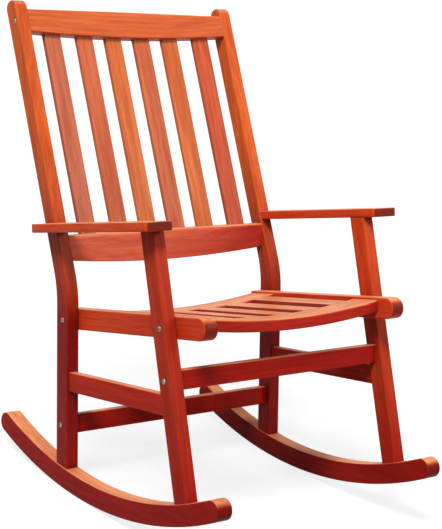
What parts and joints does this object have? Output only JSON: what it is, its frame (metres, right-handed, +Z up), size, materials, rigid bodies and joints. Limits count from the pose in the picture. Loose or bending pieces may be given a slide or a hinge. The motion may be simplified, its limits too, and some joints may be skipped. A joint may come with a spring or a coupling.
{
  "type": "slat-back rocking chair",
  "caption": "Wooden porch rocker: slatted high back, hollowed slatted seat, flat arms, leaning front legs and bent rear posts on curved runners.",
  "frame": {"origin": "at floor level, on the chair's middle plane, in the middle of its front-to-back outline at its empty balance", "axes": "+Z up, the sitter faces -Y, +X to the sitter's left"},
  "size_m": [0.68, 0.9182, 0.9914],
  "materials": {
    "runner_wood": "oiled hardwood, satin",
    "leg_wood": "oiled hardwood, satin",
    "armrest_wood": "oiled hardwood, satin",
    "seat_frame_wood": "oiled hardwood, satin",
    "seat_slat_wood": "oiled hardwood, satin",
    "back_slat_wood": "oiled hardwood, satin",
    "back_rail_wood": "oiled hardwood, satin",
    "dowel_wood": "oiled hardwood, satin",
    "plug_wood": "oiled hardwood, satin",
    "bolt_steel": "zinc plated, dull",
    "zinc_steel": "zinc plated"
  },
  "bodies": {
    "root": {"arm_plugs": "plug_wood", "arm_screws": "zinc_steel", "armrest_left": "armrest_wood", "armrest_right": "armrest_wood", "back_post_left": "leg_wood", "back_post_right": "leg_wood", "back_slat_1": "back_slat_wood", "back_slat_2": "back_slat_wood", "back_slat_3": "back_slat_wood", "back_slat_4": "back_slat_wood", "back_slat_5": "back_slat_wood", "back_slat_6": "back_slat_wood", "barrel_nuts": "zinc_steel", "frame_bolts": "bolt_steel", "frame_dowels": "dowel_wood", "front_leg_left": "leg_wood", "front_leg_right": "leg_wood", "front_stretcher": "leg_wood", "lower_back_rail": "back_rail_wood", "rear_stretcher": "leg_wood", "runner_dowels": "dowel_wood", "runner_left": "runner_wood", "runner_right": "runner_wood", "runner_screws": "zinc_steel", "seat_board_dowels": "dowel_wood", "seat_front_board": "seat_frame_wood", "seat_rear_board": "seat_frame_wood", "seat_side_rail_left": "seat_frame_wood", "seat_side_rail_right": "seat_frame_wood", "seat_slat_1": "seat_slat_wood", "seat_slat_2": "seat_slat_wood", "seat_slat_3": "seat_slat_wood", "seat_slat_4": "seat_slat_wood", "seat_slat_5": "seat_slat_wood", "seat_slat_6": "seat_slat_wood", "side_stretcher_left": "leg_wood", "side_stretcher_right": "leg_wood", "top_back_rail": "back_rail_wood"}
  },
  "joints": []
}
